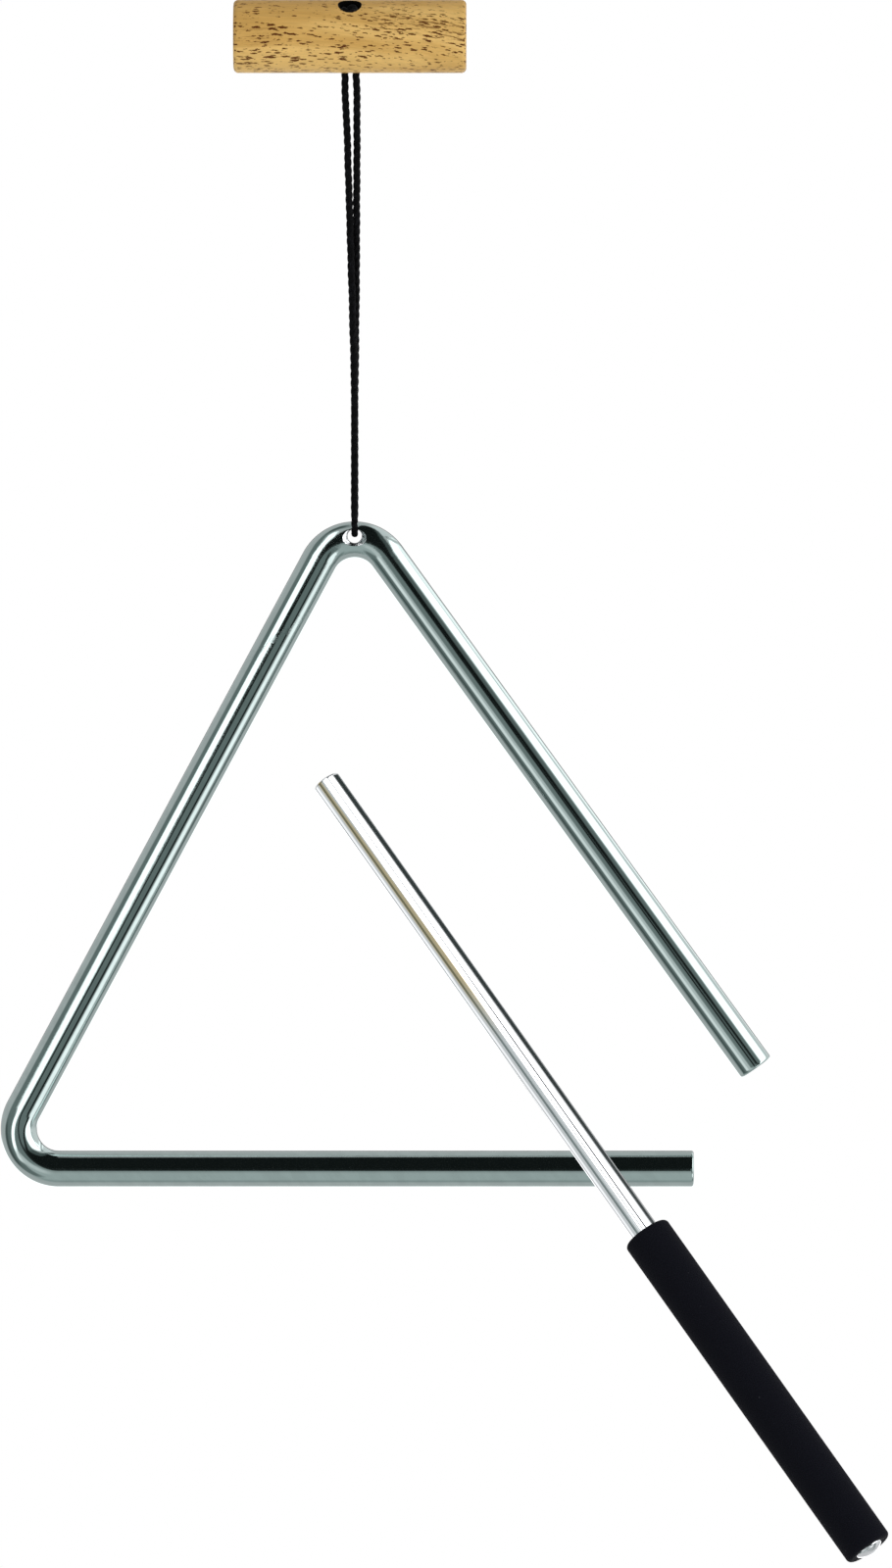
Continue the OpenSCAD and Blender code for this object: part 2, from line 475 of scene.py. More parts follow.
def makeHandle():
    r, half, edge = handle["thick"] / 2, handle["long"] / 2, handle["edge"]
    profile = [(0, -half), (r * 0.5, -half)] + corner(r - edge, edge - half, edge, -90, 0)
    profile += [(r, x / 2) for x in handle["rings"]]
    profile += corner(r - edge, half - edge, edge, 0, 90) + [(r * 0.5, half), (0, half)]
    bm = bmesh.new()
    turn(bm, profile, handle["around"])
    move(bm, Matrix.Rotation(math.radians(90), 4, "Y"))
    piece = putOut("woodenHandle", bm)
    # the bore, wider over the knot's seat, with a little taken off its mouth
    wide, narrow, rim = handle["wideBore"] / 2, handle["narrowBore"] / 2, handle["rim"]
    bore = [(0, -r * 1.5), (narrow + rim * 6, -r * 1.5), (narrow, -r * 1.15)]
    bore += [(narrow, handle["seat"]), (wide, handle["seat"]), (wide, r * 0.97)]
    bore += [(wide + rim, r * 1.05), (wide + rim * 2, r * 1.5), (0, r * 1.5)]
    cutter = bmesh.new()
    turn(cutter, bore, handle["boreAround"])
    # turned by half a step, so that no edge of it meets one of the handle's rings
    halfStep = Matrix.Rotation(math.pi / handle["boreAround"], 4, "Z")
    move(cutter, Matrix.Rotation(math.radians(cord["boreLean"]), 4, "X") @ halfStep)
    return cutOut(piece, cutter, 40)


woodenHandle = makeHandle()
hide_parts("wooden_handle")
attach(woodenHandle, "handle")
print("handle made")


# Triangle: a bent rod, drilled across the top bend and countersunk on both faces

rod = {
    "thick": 8,
    "bend": 8.8,
    "left": 136.9,
    "bottom": 139.3,
    "right": 138.4,
    "topAngle": 64.1,
    "cornerAngle": 61.7,
    "edge": 0.5,
    "capInset": 0.4,
    "hole": 3.2,
    "holeRise": 0.8,
    "sink": 5.5,
    "sinkSlope": 0.64,
    "hangs": (1, 4.2, -109.4),
    "around": 96,
    "sideSteps": 46,
    "topSteps": 64,
    "cornerSteps": 48,
}


def rodPlaces():
    # turn matrices along the rod, from the end of the right side
    lean = rod["topAngle"] - (90 - rod["cornerAngle"])
    middle = Matrix.Translation((0, -(rod["bend"] + rod["holeRise"]) * mm, 0))
    top = middle @ Matrix.Rotation(math.radians(lean), 4, "Z")
    sweepTop, sweepCorner = 180 - rod["topAngle"], 180 - rod["cornerAngle"]
    past = top @ Matrix.Rotation(math.radians(sweepTop), 4, "Z")
    low = past @ Matrix.Translation((0, rod["left"] * mm, 0))
    after = low @ Matrix.Rotation(math.radians(sweepCorner), 4, "Z")
    return top, past, low, after, sweepTop, sweepCorner


def standUp():
    # from the plane in which the rod is bent to where the triangle hangs
    return Matrix.Translation(Vector(rod["hangs"]) * mm) @ Matrix.Rotation(math.radians(90), 4, "X")


def only(kind, geometry):
    return [part for part in geometry if isinstance(part, kind)]


def pull(bm, ring, matrix, length, pieces):
    # draws a ring out along the matrix's Y axis
    ahead = (matrix.to_3x3() @ Vector((0, 1, 0))) * length * mm / pieces
    for i in range(pieces):
        got = bmesh.ops.extrude_edge_only(bm, edges=ring)["geom"]
        bmesh.ops.translate(bm, vec=ahead, verts=only(bmesh.types.BMVert, got))
        ring = only(bmesh.types.BMEdge, got)
    return ring


def swing(bm, ring, matrix, angle, steps):
    # carries a ring round the matrix's own middle
    got = bmesh.ops.spin(
        bm, geom=ring, cent=matrix.translation, axis=(0, 0, 1),
        angle=math.radians(angle), steps=steps,
    )
    return only(bmesh.types.BMEdge, got["geom_last"])


def drill():
    # the cross-hole with a countersink at both of its ends
    half, hole, sink = rod["thick"] / 2, rod["hole"] / 2, rod["sink"] / 2
    slope = rod["sinkSlope"]
    foot = (sink - hole) * slope - half
    profile = [(0, -half - 1), (sink + 1 / slope, -half - 1), (hole + 0.2, foot - 0.2 * slope)]
    profile += [(hole + 0.05, foot + 0.02), (hole, foot + 0.2)]
    profile += [(r, -z) for r, z in profile[::-1]]
    bm = bmesh.new()
    turn(bm, profile, rod["around"])
    return bm


def makeTriangle():
    bm = bmesh.new()
    bmesh.ops.create_circle(bm, segments=rod["around"], radius=rod["thick"] / 2 * mm)
    start = top @ Matrix.Translation((rod["bend"] * mm, -rod["right"] * mm, 0))
    move(bm, start @ Matrix.Rotation(math.radians(-90), 4, "X"))
    # a short stretch at each end keeps the rounding of the edge to itself
    endLong, steps = rod["edge"] + 0.3, rod["sideSteps"]
    ring = pull(bm, list(bm.edges), top, endLong, 1)
    ring = pull(bm, ring, top, rod["right"] - endLong, steps)
    ring = swing(bm, ring, top, sweepTop, rod["topSteps"])
    ring = pull(bm, ring, past, rod["left"], steps)
    ring = swing(bm, ring, low, sweepCorner, rod["cornerSteps"])
    ring = pull(bm, ring, after, rod["bottom"] - endLong, steps)
    pull(bm, ring, after, endLong, 1)
    bmesh.ops.remove_doubles(bm, verts=bm.verts, dist=1e-8)
    ends = [e for e in bm.edges if len(e.link_faces) == 1]
    bmesh.ops.holes_fill(bm, edges=ends, sides=0)
    ends = [e for e in bm.edges if any(len(f.verts) > 8 for f in e.link_faces)]
    bmesh.ops.bevel(
        bm, geom=ends, offset=rod["edge"] * mm, offset_type="OFFSET", segments=5,
        profile=0.5, affect="EDGES", material=-1,
    )
    caps = [f for f in bm.faces if len(f.verts) > 8]
    bmesh.ops.inset_individual(bm, faces=caps, thickness=rod["capInset"] * mm)
    bmesh.ops.recalc_face_normals(bm, faces=bm.faces)
    piece = cutOut(putOut("steelTriangle", bm), drill(), 28)
    piece.data.transform(standUp())
    return piece


def rodPlace(co):
    # a point's place on the rod as if it were straight: across, across, along
    bend = rod["bend"] * mm

    def onSide(at, length):
        return Vector((at.x - bend, at.z, length + at.y))

    def onBend(at, length):
        out = math.hypot(at.x, at.y) - bend
        return Vector((out, at.z, length + bend * math.atan2(at.y, at.x)))

    flat = standUpBack @ co
    length = rod["right"] * mm
    fromTop = topBack @ flat
    if fromTop.y < 0:
        return onSide(fromTop, length)
    fromPast = pastBack @ flat
    if fromPast.y < 0:
        return onBend(fromTop, length)
    length += bend * math.radians(sweepTop)
    fromLow = lowBack @ flat
    if fromLow.y < 0:
        return onSide(fromPast, length)
    length += rod["left"] * mm
    fromAfter = afterBack @ flat
    if fromAfter.y < 0:
        return onBend(fromLow, length)
    length += bend * math.radians(sweepCorner)
    return onSide(fromAfter, length)


top, past, low, after, sweepTop, sweepCorner = rodPlaces()
topBack, pastBack, lowBack, afterBack = (m.inverted() for m in (top, past, low, after))
standUpBack = standUp().inverted()
steelTriangle = makeTriangle()
bent = rod["bend"] * math.radians(sweepTop + sweepCorner)
rodLength = (rod["right"] + rod["left"] + rod["bottom"] + bent) * mm
keepPlace(steelTriangle, "alongRod", rodPlace)
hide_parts("steel_triangle")
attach(steelTriangle, "triangle")
print("triangle made, %d faces" % len(steelTriangle.data.polygons))


# Beater: a plain rod with a turned end, and a foam sleeve

beater = {
    "long": 205.5,
    "thick": 6,
    "around": 96,
    "tipEdge": 0.45,
    "domeEdge": 0.06,
    "domeRise": 1.15,
    "domeSteps": 43,
    "ringGap": 0.42,
    "ringDeep": 0.035,
    "ringsFrom": 0.6,    # the turned rings grow shallow inside this radius
    "gripLong": 83,
    "gripThick": 10.5,
    "gripEdge": 0.95,
    "gripLip": 0.4,
    "domeOut": 1.2,
    "tip": (-4.6, -60, -163.2),
    "lean": 35.4,
    "tilt": 15.2,
}


def held():
    # where the beater is held: its tip at the origin before, its axis along Z
    lean = Matrix.Rotation(math.radians(180 - beater["lean"]), 4, "Y")
    tilt = Matrix.Rotation(math.radians(beater["tilt"]), 4, "X")
    return Matrix.Translation(Vector(beater["tip"]) * mm) @ lean @ tilt


def makeBeaterRod():
    r, end, edge = beater["thick"] / 2, beater["long"], beater["tipEdge"]
    rise, steps = beater["domeRise"], beater["domeSteps"]
    profile = [(0, 0), (1, 0)] + corner(r - edge, edge, edge, -90, 0)
    # a ring close behind the tip keeps its rounding to itself
    profile += [(r, edge + 0.15)] + [(r, z) for z in range(5, 205, 10)]
    profile += [(r, end - rise - 0.1)]
    # the domed end, with fine rings left by the lathe
    curve = (r * r + rise * rise) / (2 * rise)
    wide = r - beater["domeEdge"]
    for i in range(steps + 1):
        radius = wide - wide * i / steps
        height = end - curve + math.sqrt(curve * curve - radius * radius)
        ripple = 0.5 - 0.5 * math.cos(2 * math.pi * radius / beater["ringGap"])
        groove = beater["ringDeep"] * ripple * min(1, radius / beater["ringsFrom"])
        profile.append((radius, height - groove))
    bm = bmesh.new()
    turn(bm, profile, beater["around"])
    return putOut("beaterRod", bm, 50)


def makeGrip():
    r, inner, edge = beater["gripThick"] / 2, beater["thick"] / 2, beater["gripEdge"]
    high = beater["long"] - beater["domeOut"]
    low = high - beater["gripLong"]
    profile = [(inner, low + beater["gripLip"] + 0.2), (inner + 0.15, low + 0.15)]
    profile += [(inner + 0.5, low)] + corner(r - edge, low + edge, edge, -90, 0, 8)
    profile += [(r, low + 2 + (beater["gripLong"] - 4) * i / 20) for i in range(21)]
    profile += corner(r - edge, high - edge, edge, 0, 90, 8)
    profile += [(inner + 0.6, high), (inner + 0.2, high - 0.1), (inner, high - 0.35)]
    bm = bmesh.new()
    turn(bm, profile, beater["around"], closed=True)
    return putOut("beaterGrip", bm, 60)


beaterRod = makeBeaterRod()
beaterGrip = makeGrip()
for piece, node in ((beaterRod, "beater_rod"), (beaterGrip, "beater_grip")):
    keepPlace(piece, "alongRod", lambda co: co)
    piece.data.transform(held())
    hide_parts(node)
    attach(piece, "beater")
for piece in (woodenHandle, beaterRod, beaterGrip):
    piece.visible_glossy = False   # the photographed bars don't mirror them
print("beater made")


# Materials

wood = {
    "pale": (0.78, 0.505, 0.168, 1),
    "tan": (0.60, 0.35, 0.094, 1),
    "pore": (0.095, 0.022, 0.001, 1),
    # the bore's painted shade: its near black, its faint paler specks, and the distances over which
    # the dark ends
    "boreShade": (0.003, 0.0026, 0.0026, 1),
    "boreShadeSpecks": (0.008, 0.006, 0.005, 1),
    "boreShadeEdge": (0.00255, 0.0027),
    "arch": 2.0,         # the grain arches up towards the middle of the handle
    "slant": 0.11,       # and falls a little from left to right
    "paintedLightBelow": 14.0,   # paler below: painted light, as the light falls on the bar from below
    # dashes: cells a metre, their turn, least chance, largest size, darkness
    "dashes": [
        ((380, 1900, 1900), (0.7, 0.5, 0.9), 0.2, 0.42, 1.0),
        ((450, 2200, 2200), (0.4, 1.1, 0.3), 0.3, 0.44, 1.0),
        ((640, 2900, 2900), (1.2, 0.6, 0.5), 0.4, 0.4, 0.85),
    ],
    "lineDark": 0.6,
}


def flecks(tree, where, crowd, cells, turned, least, largest):
    # short dark dashes: one to a cell, each of its own size. The cells are turned, so
    # that the dashes don't stand in columns
    place = stretched(tree, where, cells, turned)
    away = add(tree, "TexVoronoi", {"Vector": place, "Scale": 1.0, "Randomness": 1.0})
    chance = add(tree, "SeparateColor", {0: away.node.outputs["Color"]})
    reach = times(tree, fade(tree, chance, least, 1.0, -0.06, largest), crowd)
    return fade(tree, maths(tree, "SUBTRACT", away, reach), -0.06, 0.06, 1.0, 0.0)


def makeWood():
    material, tree, surface = startMaterial("handle wood")
    place = objectPlace(tree)
    x, y, z = parted(tree, place)
    rise = times(tree, times(tree, x, x), wood["arch"])
    rise = maths(tree, "ADD", rise, times(tree, x, wood["slant"]))
    arched = add(tree, "CombineXYZ", {0: x, 1: y, 2: maths(tree, "ADD", z, rise)})
    # the grain wanders a little, and the dashes have ragged edges
    drift = noise(tree, place, (30, 60, 60), 1.0, out=1)
    grain = wandered(tree, arched, drift, (0.0, 0.004, 0.004))
    ragged = noise(tree, grain, (1500, 3800, 3800), 2.0, out=1)
    rough = wandered(tree, grain, ragged, (0.0011, 0.0004, 0.0004))
    broad = noise(tree, grain, (16, 210, 210), 3.0, roughness=0.55)
    fine = noise(tree, grain, (170, 3200, 3200), 2.0)
    # painted light: the wood's colour grows paler towards the bottom of the bar
    broad = maths(tree, "SUBTRACT", broad, times(tree, z, wood["paintedLightBelow"]))
    colour = mixColour(tree, fade(tree, broad, 0.3, 0.66), wood["tan"], wood["pale"])
    streak = fade(tree, fine, 0.3, 0.7, 0.93, 1.05)
    streak = add(tree, "CombineColor", {0: streak, 1: streak, 2: streak})
    colour = mixColour(tree, 1.0, colour, streak, "MULTIPLY")
    # the dashes gather in places, and are smaller and fewer near the top of the bar
    crowd = fade(tree, noise(tree, grain, (42, 170, 170), 1.0), 0.3, 0.56, 0.7, 1.08)
    crowd = times(tree, crowd, fade(tree, z, 0.0012, 0.0045, 1.04, 0.74))
    pores = 0.0
    for cells, turned, least, largest, dark in wood["dashes"]:
        dashes = flecks(tree, rough, crowd, cells, turned, least, largest)
        pores = maths(tree, "MAXIMUM", pores, times(tree, dashes, dark))
    # in places the pores run together into thin dark lines
    lines = fade(tree, noise(tree, rough, (95, 2900, 2900), 1.0), 0.54, 0.64)
    shown = fade(tree, noise(tree, grain, (38, 130, 130), 0.0), 0.52, 0.66)
    lines = times(tree, times(tree, lines, shown), wood["lineDark"])
    pores = maths(tree, "MAXIMUM", pores, lines)
    depth = fade(tree, ragged, 0.3, 0.55, 0.8, 1.0)
    colour = mixColour(tree, times(tree, pores, depth), colour, wood["pore"])
    # painted shade: the drilled bore is dark inside, by its distance from the bore's own line
    lean = math.radians(cord["boreLean"])
    u, v, w = parted(tree, add(tree, "Mapping", {"Vector": place, "Rotation": (-lean, 0, 0)}))
    away = maths(tree, "ADD", maths(tree, "POWER", u, 2.0), maths(tree, "POWER", v, 2.0))
    inside = fade(tree, maths(tree, "SQRT", away), *wood["boreShadeEdge"], 1.0, 0.0)
    dips = bumps(tree, maths(tree, "SUBTRACT", 1.0, pores), 0.00007, 0.7)
    plug(tree, surface, {
        "Base Color": mixColour(tree, inside, colour, wood["boreShade"]),
        "Roughness": fade(tree, fine, 0.3, 0.7, 0.42, 0.56),
        "Specular IOR Level": 0.14,
        "Coat Weight": 0.03,
        "Coat Roughness": 0.3,
        "Normal": bumps(tree, fine, 0.00002, 0.5, dips),
    })
    return material


def makeBore():
    # the drilled bore, never varnished: painted shade, near black, with faint specks of painted
    # light on its fibres
    material, tree, surface = startMaterial("drilled wood")
    fibres = noise(tree, objectPlace(tree), (400, 2200, 2200), 2.0)
    litSpecks = fade(tree, fibres, 0.45, 0.7)
    plug(tree, surface, {
        "Base Color": mixColour(tree, litSpecks, wood["boreShade"], wood["boreShadeSpecks"]),
        "Roughness": 0.95,
        "Specular IOR Level": 0.02,
        "Normal": bumps(tree, fibres, 0.0001, 0.6),
    })
    return material


yarn = {
    "colour": (0.0016, 0.0016, 0.002, 1),
    # the blue-grey of painted highlight specks on the fibres
    "litSpecks": (0.02, 0.021, 0.027, 1),
}


def makeYarn():
    material, tree, surface = startMaterial("black cord")
    # fibres run at a slant round each strand
    slant = stretched(tree, add(tree, "UVMap"), (26, 5, 1), (0, 0, 0.5))
    fibres = noise(tree, slant, detail=3.0, roughness=0.6)
    patches = noise(tree, objectPlace(tree), detail=2.0, scale=900.0)
    # painted highlights: blue-grey specks where the fibres and the patches are both high
    shine = times(tree, fade(tree, fibres, 0.5, 0.68), fade(tree, patches, 0.45, 0.65))
    plug(tree, surface, {
        "Base Color": mixColour(tree, shine, yarn["colour"], yarn["litSpecks"]),
        "Roughness": 0.7,
        "Specular IOR Level": 0.08,
        "Normal": bumps(tree, fibres, 0.0001, 0.9),
    })
    return material


steel = {
    "nickel": (0.47, 0.555, 0.545, 1),
    # drilled: the dark patches of a painted reflection on the countersink and in the hole
    "drilled": (0.13, 0.14, 0.14, 1),
    "bright": (0.80, 0.82, 0.84, 1),
    # the olive of a painted reflection on the beater's tip
    "paintedReflection": (0.66, 0.54, 0.33, 1),
    "bends": ((0.132, 0.163), (0.287, 0.318)),    # where they lie along the rod
    "bendFade": 0.008,
    # the beater's painted reflection, an olive band along one side: where it ends along the rod,
    # and its two edges across it
    "reflectionEnd": (0.052, 0.072),
    "reflectionInner": (0.0007, 0.0012),
    "reflectionOuter": (0.0016, 0.0020),
    "reflectionDrift": 0.012,
}


def makeSteel(name, colour, wobble, reflectionTint=None, bends=()):
    material, tree, surface = startMaterial(name)
    place = rodCoords(tree)
    x, y, z = parted(tree, place)
    # plating that isn't quite even, with faint polishing lines along the rod
    waves = noise(tree, place, (260, 260, 45), 2.0)
    lines = noise(tree, place, (5200, 5200, 160), 2.0)
    cloud = noise(tree, place, (420, 420, 120), 3.0)
    darker = tuple(c * 0.93 for c in colour[:3]) + (1,)
    plating = mixColour(tree, fade(tree, cloud, 0.35, 0.65), darker, colour)
    rough = fade(tree, lines, 0.3, 0.75, 0.05, 0.09)
    normal = bumps(tree, lines, 0.0000004, 1.0, bumps(tree, waves, wobble))
    if reflectionTint:
        # painted reflection: an olive band along one side of the tip's half
        reflectionBand = fade(tree, z, *steel["reflectionEnd"], 0.95, 0.0)
        edge = maths(tree, "ADD", x, times(tree, z, steel["reflectionDrift"]))
        reflectionBand = times(tree, reflectionBand, fade(tree, edge, *steel["reflectionInner"]))
        reflectionBand = times(tree, reflectionBand, fade(tree, x, *steel["reflectionOuter"], 1.0, 0.0))
        reflectionBand = times(tree, reflectionBand, fade(tree, y, -0.001, 0.0, 1.0, 0.0))
        plating = mixColour(tree, reflectionBand, plating, reflectionTint)
    for low, high in bends:
        # bending has left the skin of the steel grainy
        bent = fade(tree, z, low, low + steel["bendFade"])
        bent = times(tree, bent, fade(tree, z, high - steel["bendFade"], high, 1.0, 0.0))
        rough = maths(tree, "ADD", rough, times(tree, bent, 0.03))
        peel = noise(tree, place, detail=2.0, scale=1700.0)
        normal = bumps(tree, times(tree, peel, bent), 0.00001, 1.0, normal)
    plug(tree, surface, {
        "Base Color": plating,
        "Metallic": 1.0,
        "Roughness": rough,
        "Normal": normal,
    })
    return material


def makeDrilledSteel():
    # the countersink and the hole's wall: cut metal, with a painted reflection of dark and bright
    # patches
    material, tree, surface = startMaterial("drilled steel")
    patches = noise(tree, objectPlace(tree), detail=3.0, scale=2300.0, roughness=0.7)
    shine = fade(tree, patches, 0.4, 0.52)
    plug(tree, surface, {
        "Base Color": mixColour(tree, shine, steel["drilled"], steel["bright"]),
        "Metallic": 1.0,
        "Roughness": 0.2,
        "Normal": bumps(tree, patches, 0.00006, 0.8),
    })
    return material


foam = {
    "colour": (0.0046, 0.0049, 0.0082, 1),
    "dust": (0.05, 0.05, 0.06, 1),
}


def makeFoam():
    material, tree, surface = startMaterial("grip foam")
    place = rodCoords(tree)
    cells = add(tree, "TexVoronoi", {"Vector": place, "Scale": 3300.0})
    grain = noise(tree, place, detail=4.0, scale=1500.0, roughness=0.7)
    specks = add(tree, "TexVoronoi", {"Vector": place, "Scale": 330.0})
    dust = fade(tree, specks, 0.035, 0.06, 0.7, 0.0)
    plug(tree, surface, {
        "Base Color": mixColour(tree, dust, foam["colour"], foam["dust"]),
        "Roughness": 0.85,
        "Specular IOR Level": 0.08,
        "Sheen Weight": 0.008,
        "Normal": bumps(tree, grain, 0.0001, 0.5, bumps(tree, cells, 0.00008, 0.6)),
    })
    return material


plated = makeSteel("plated steel", steel["nickel"], 0.000004, bends=steel["bends"])
# the beater's steel carries a painted reflection near its tip
polished = makeSteel("beater steel", steel["bright"], 0.000003, steel["paintedReflection"])
for piece, material, slot in (
    (woodenHandle, makeWood(), "handle_wood"),
    (steelTriangle, plated, "plated_steel"),
    (beaterRod, polished, "beater_steel"),
    (beaterGrip, makeFoam(), "grip_foam"),
):
    piece.data.materials.clear()
    piece.data.materials.append(material)


def finishCut(piece, material, isCut):
    # gives the drilled faces of a piece a second material
    piece.data.materials.append(material)
    for face in piece.data.polygons:
        if isCut(face.center):
            face.material_index = 1


def inBore(co):
    across = boreBack @ co
    return math.hypot(across.x, across.y) < handle["wideBore"] / 2 * mm * 1.02


def inHole(co):
    across = rodPlace(co)
    ending = across.z < 0.001 or across.z > rodLength - 0.001
    return math.hypot(across.x, across.y) < rod["thick"] / 2 * mm * 0.992 and not ending


boreBack = Matrix.Rotation(math.radians(-cord["boreLean"]), 4, "X")
finishCut(woodenHandle, makeBore(), inBore)
finishCut(steelTriangle, makeDrilledSteel(), inHole)
blackCord = makeYarn()
for piece in (cordKnot, cordEntry, cordNeck, cordRun):
    piece.data.materials.append(blackCord)
print("materials made")


# Studio: white all round for the camera, and softboxes and flags for the steel

studio = {
    "white": 1.0,
    "backdrop": 0.66,
    "matt": 0.55,
    "aim": (0.02, 0, -0.16),     # where the lamps point
    # A panel's outline is a row of (turn round the camera's line, nearest and furthest
    # angle off that line), in degrees: turn 0 is right, 90 up, 180 left and 270 down.
    # A later panel lies over an earlier one.
    "panels": {
        "ground": {
            "level": 0.62, "soft": 16, "ends": 12,
            "outline": [(226, 22, 92), (268, 22, 86), (312, 22, 84)],
        },
        "near ground": {
            "level": 0.42, "soft": 14, "ends": 12,
            "outline": [(226, 0, 20), (268, 0, 20), (312, 0, 22)],
        },
        "far ground": {
            "level": 0.47, "soft": 9, "ends": 12,
            "outline": [(246, 76, 92), (268, 76, 92), (300, 76, 90)],
        },
        "front left": {
            "level": 0.29, "soft": 7, "ends": 8,
            "outline": [(150, 0, 24), (196, 0, 38), (222, 0, 36), (236, 0, 16)],
        },
        "front right": {
            "level": 0.26, "soft": 4, "ends": 6,
            "outline": [
                (296, 0, 36), (320, 0, 46), (340, 0, 50), (376, 0, 46), (392, 0, 44),
                (400, 0, 50), (410, 0, 62), (420, 0, 80),
            ],
        },
        "left wall": {
            "level": 0.26, "soft": 6, "ends": 8,
            "outline": [
                (96, 86, 114), (118, 84, 106), (134, 60, 93), (152, 50, 84), (166, 36, 84),
                (184, 40, 94), (204, 50, 99), (222, 54, 96), (238, 60, 88), (250, 60, 74),
            ],
        },
        "top shade": {
            "level": 0.12, "soft": 7, "ends": 6,
            "outline": [(98, 94, 108), (108, 93, 108), (120, 91, 102)],
        },
        "dark shelf": {
            "level": 0.12, "soft": 9, "ends": 9,
            "outline": [(172, 74, 88), (192, 76, 92), (216, 78, 98), (224, 78, 94)],
        },
        "low wall": {
            "level": 0.33, "soft": 5, "ends": 6,
            "outline": [(292, 66, 82), (306, 78, 96), (320, 90, 106), (338, 88, 104)],
        },
        "left glow": {
            "level": 0.85, "soft": 5, "ends": 7,
            "outline": [(212, 33, 56), (226, 26, 50), (242, 22, 42), (254, 22, 40)],
        },
        "left key's end": {
            "level": 1.25, "soft": 4, "ends": 5,
            "outline": [(200, 35, 53), (210, 41, 58), (217, 46, 63), (223, 45, 60)],
        },
        "left key": {
            "level": 2.4, "soft": 3.5, "ends": 5,
            "outline": [
                (109, 66, 74), (113, 55, 77), (118, 46, 76), (124, 38, 68), (132, 31, 58),
                (142, 25, 53), (151, 20, 54), (157, 11, 36), (164, 9, 32), (170, 13, 36),
                (178, 20, 42), (188, 27, 47), (198, 33, 52), (206, 37, 55),
            ],
        },
        "right glow": {
            "level": 1.0, "soft": 8, "ends": 6,
            "outline": [(-8, 74, 138), (30, 80, 146), (60, 84, 146), (74, 100, 140)],
        },
        "right key": {
            "level": 2.4, "soft": 4, "ends": 4,
            "outline": [
                (-26, 60, 72), (-18, 58, 74), (-10, 50, 76), (0, 45, 80), (12, 42, 82),
                (24, 45, 91), (32, 48, 99), (38, 54, 103), (44, 64, 96), (50, 76, 88),
            ],
        },
        "inner shade": {
            "level": 0.2, "soft": 9, "ends": 8,
            "outline": [
                (312, 84, 98), (324, 92, 106), (336, 84, 98), (348, 80, 94), (355, 82, 90),
            ],
        },
        "inner glow": {
            "level": 0.95, "soft": 9, "ends": 8,
            "outline": [(334, 104, 118), (344, 100, 120), (354, 100, 118)],
        },
        "low key": {
            "level": 1.7, "soft": 4, "ends": 4,
            "outline": [
                (302, 47, 53), (310, 43, 66), (318, 44, 76), (325, 48, 81), (332, 56, 79),
                (340, 61, 78),
            ],
        },
        "right flag": {
            "level": 0.012, "soft": 2.5, "ends": 2,
            "outline": [
                (334, 46, 58), (344, 43, 54), (352, 36, 47), (362, 29, 39), (374, 22, 33),
                (384, 17, 28), (392, 11, 24),
            ],
        },
        "low flag": {
            "level": 0.015, "soft": 3, "ends": 2,
            "outline": [
                (311, 18, 27), (318, 24, 36), (325, 31, 42), (331, 35, 45), (336, 38, 48),
            ],
        },
        "upper shade": {
            "level": 0.12, "soft": 7, "ends": 6,
            "outline": [
                (36, 18, 40), (44, 18, 56), (52, 18, 66), (60, 18, 84), (68, 18, 104),
                (76, 18, 110),
            ],
        },
        "upper flag": {
            "level": 0.012, "soft": 4, "ends": 5,
            "outline": [
                (24, 0, 20), (34, 0, 22), (40, 0, 26), (46, 0, 33), (52, 0, 42),
                (58, 0, 52), (63, 0, 68), (68, 0, 90), (73, 0, 108), (80, 0, 110),
                (87, 0, 90), (91, 0, 82), (98, 0, 70), (106, 0, 60), (114, 0, 48),
                (122, 0, 37), (132, 0, 27), (142, 0, 21), (152, 0, 18), (160, 0, 4),
            ],
        },
        "beater flag": {
            "level": 0.05, "soft": 4, "ends": 3,
            "outline": [
                (37, 132, 150), (40, 124, 147), (43, 108, 142), (46, 98, 126),
                (49, 91, 112), (52, 87, 104), (55, 85, 96),
            ],
        },
        "back flag": {
            "level": 0.02, "soft": 3, "ends": 8,
            "outline": [(16, 158, 168), (60, 156, 170), (120, 156, 170), (168, 158, 168)],
        },
        "back key": {
            "level": 1.9, "soft": 4, "ends": 8,
            "outline": [(196, 150, 168), (240, 146, 170), (300, 146, 170), (348, 150, 168)],
        },
        "camera": {
            "level": 0.015, "soft": 3, "ends": 0,
            "outline": [(0, 0, 3.5), (360, 0, 3.5)],
        },
        "low line": {
            "level": 0.015, "soft": 3, "ends": 6,
            "outline": [(200, 0, 4), (216, 0, 5), (250, 0, 10), (290, 0, 10), (304, 0, 5)],
        },
    },
}


def outlineCurve(tree, along, points):
    # a smooth line through (place along it, value) points, all from 0 to 1
    node = tree.nodes.new("ShaderNodeFloatCurve")
    line = node.mapping.curves[0].points
    line[0].location, line[1].location = points[0], points[-1]
    for point in points[1:-1]:
        line.new(*point)
    node.mapping.update()
    tree.links.new(along, node.inputs["Value"])
    return node.outputs[0]


